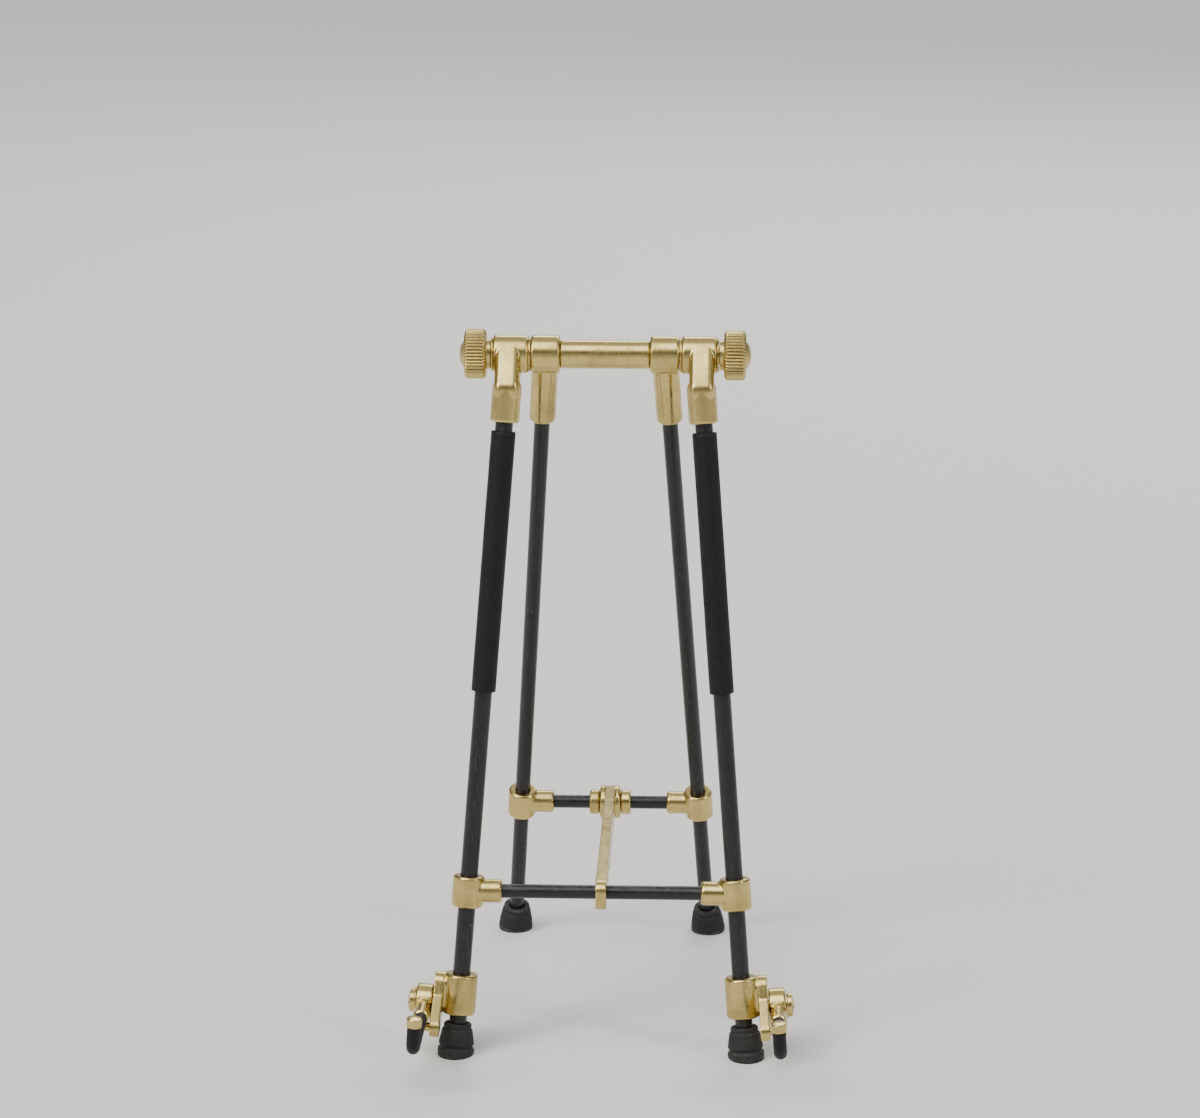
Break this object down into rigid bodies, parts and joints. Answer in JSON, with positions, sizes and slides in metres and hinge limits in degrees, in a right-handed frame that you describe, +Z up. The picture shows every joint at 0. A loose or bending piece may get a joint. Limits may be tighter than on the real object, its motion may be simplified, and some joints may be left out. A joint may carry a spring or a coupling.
{
  "type": "plate display stand",
  "caption": "Folding easel that holds a plate upright for display: front legs with folding hooked arms, a hinged rear strut and a notched stay.",
  "frame": {"origin": "on the floor under the middle of the stand's bounding box", "axes": "+X to the right seen from the front, +Y to the rear, +Z up"},
  "size_m": [0.0884, 0.1156, 0.1629],
  "materials": {
    "black_lacquer": "satin black lacquer on steel rod",
    "brass": "polished and a little dulled",
    "black_vinyl": "soft matte vinyl tube",
    "rubber": "matte moulded rubber",
    "steel": "blackened"
  },
  "bodies": {
    "front_frame": {"left_leg": "black_lacquer", "left_bracket": "brass", "left_stop_pin": "brass", "left_pivot_screw": "brass", "left_front_tee": "brass", "left_head": "brass", "left_rest_sleeve": "black_vinyl", "left_front_foot": "rubber", "right_leg": "black_lacquer", "right_bracket": "brass", "right_stop_pin": "brass", "right_pivot_screw": "brass", "right_front_tee": "brass", "right_head": "brass", "right_rest_sleeve": "black_vinyl", "right_front_foot": "rubber", "front_crossbar": "black_lacquer", "hinge_axle": "brass", "axle_washers": "brass", "pivot_washers": "brass", "frame_grub_screws": "steel"},
    "rear_strut": {"left_strut_knuckle": "brass", "left_strut_rod": "black_lacquer", "left_rear_tee": "brass", "left_rear_foot": "rubber", "right_strut_knuckle": "brass", "right_strut_rod": "black_lacquer", "right_rear_tee": "brass", "right_rear_foot": "rubber", "rear_crossbar": "black_lacquer", "spacer_tube": "brass", "stay_collars": "brass", "strut_grub_screws": "steel"},
    "stay": {"notched_stay": "brass"},
    "left_arm": {"left_arm_knuckle": "brass", "left_arm_rod": "brass", "left_arm_sleeve": "black_vinyl", "left_tip_cap": "brass"},
    "right_arm": {"right_arm_knuckle": "brass", "right_arm_rod": "brass", "right_arm_sleeve": "black_vinyl", "right_tip_cap": "brass"},
    "left_nut": {"left_thumb_nut": "brass"},
    "right_nut": {"right_thumb_nut": "brass"}
  },
  "joints": [
    {"name": "strut_fold", "type": "hinge", "parent": "rear_strut", "child": "front_frame", "pos_m": [0, 0.00225, 0.15728], "axis": [1, 0, 0], "range_deg": [0, 26.5]},
    {"name": "stay_lift", "type": "hinge", "parent": "rear_strut", "child": "stay", "pos_m": [0, 0.04115, 0.03758], "axis": [-1, 0, 0], "range_deg": [0, 72]},
    {"name": "left_arm_fold", "type": "hinge", "parent": "front_frame", "child": "left_arm", "pos_m": [-0.0403, -0.02602, 0.01209], "axis": [-0.9972, 0.0111, 0.0742], "range_deg": [0, 98.5]},
    {"name": "right_arm_fold", "type": "hinge", "parent": "front_frame", "child": "right_arm", "pos_m": [0.0403, -0.02602, 0.01209], "axis": [-0.9972, -0.0111, -0.0742], "range_deg": [0, 98.5]},
    {"name": "left_nut_turn", "type": "hinge", "parent": "front_frame", "child": "left_nut", "pos_m": [-0.02926, 0.00225, 0.15728], "axis": [1, 0, 0], "continuous": true},
    {"name": "right_nut_turn", "type": "hinge", "parent": "front_frame", "child": "right_nut", "pos_m": [0.02926, 0.00225, 0.15728], "axis": [1, 0, 0], "continuous": true}
  ],
  "couplings": [
    {"joint": "stay_lift", "follows": "strut_fold", "ratio": 2.7169}
  ]
}
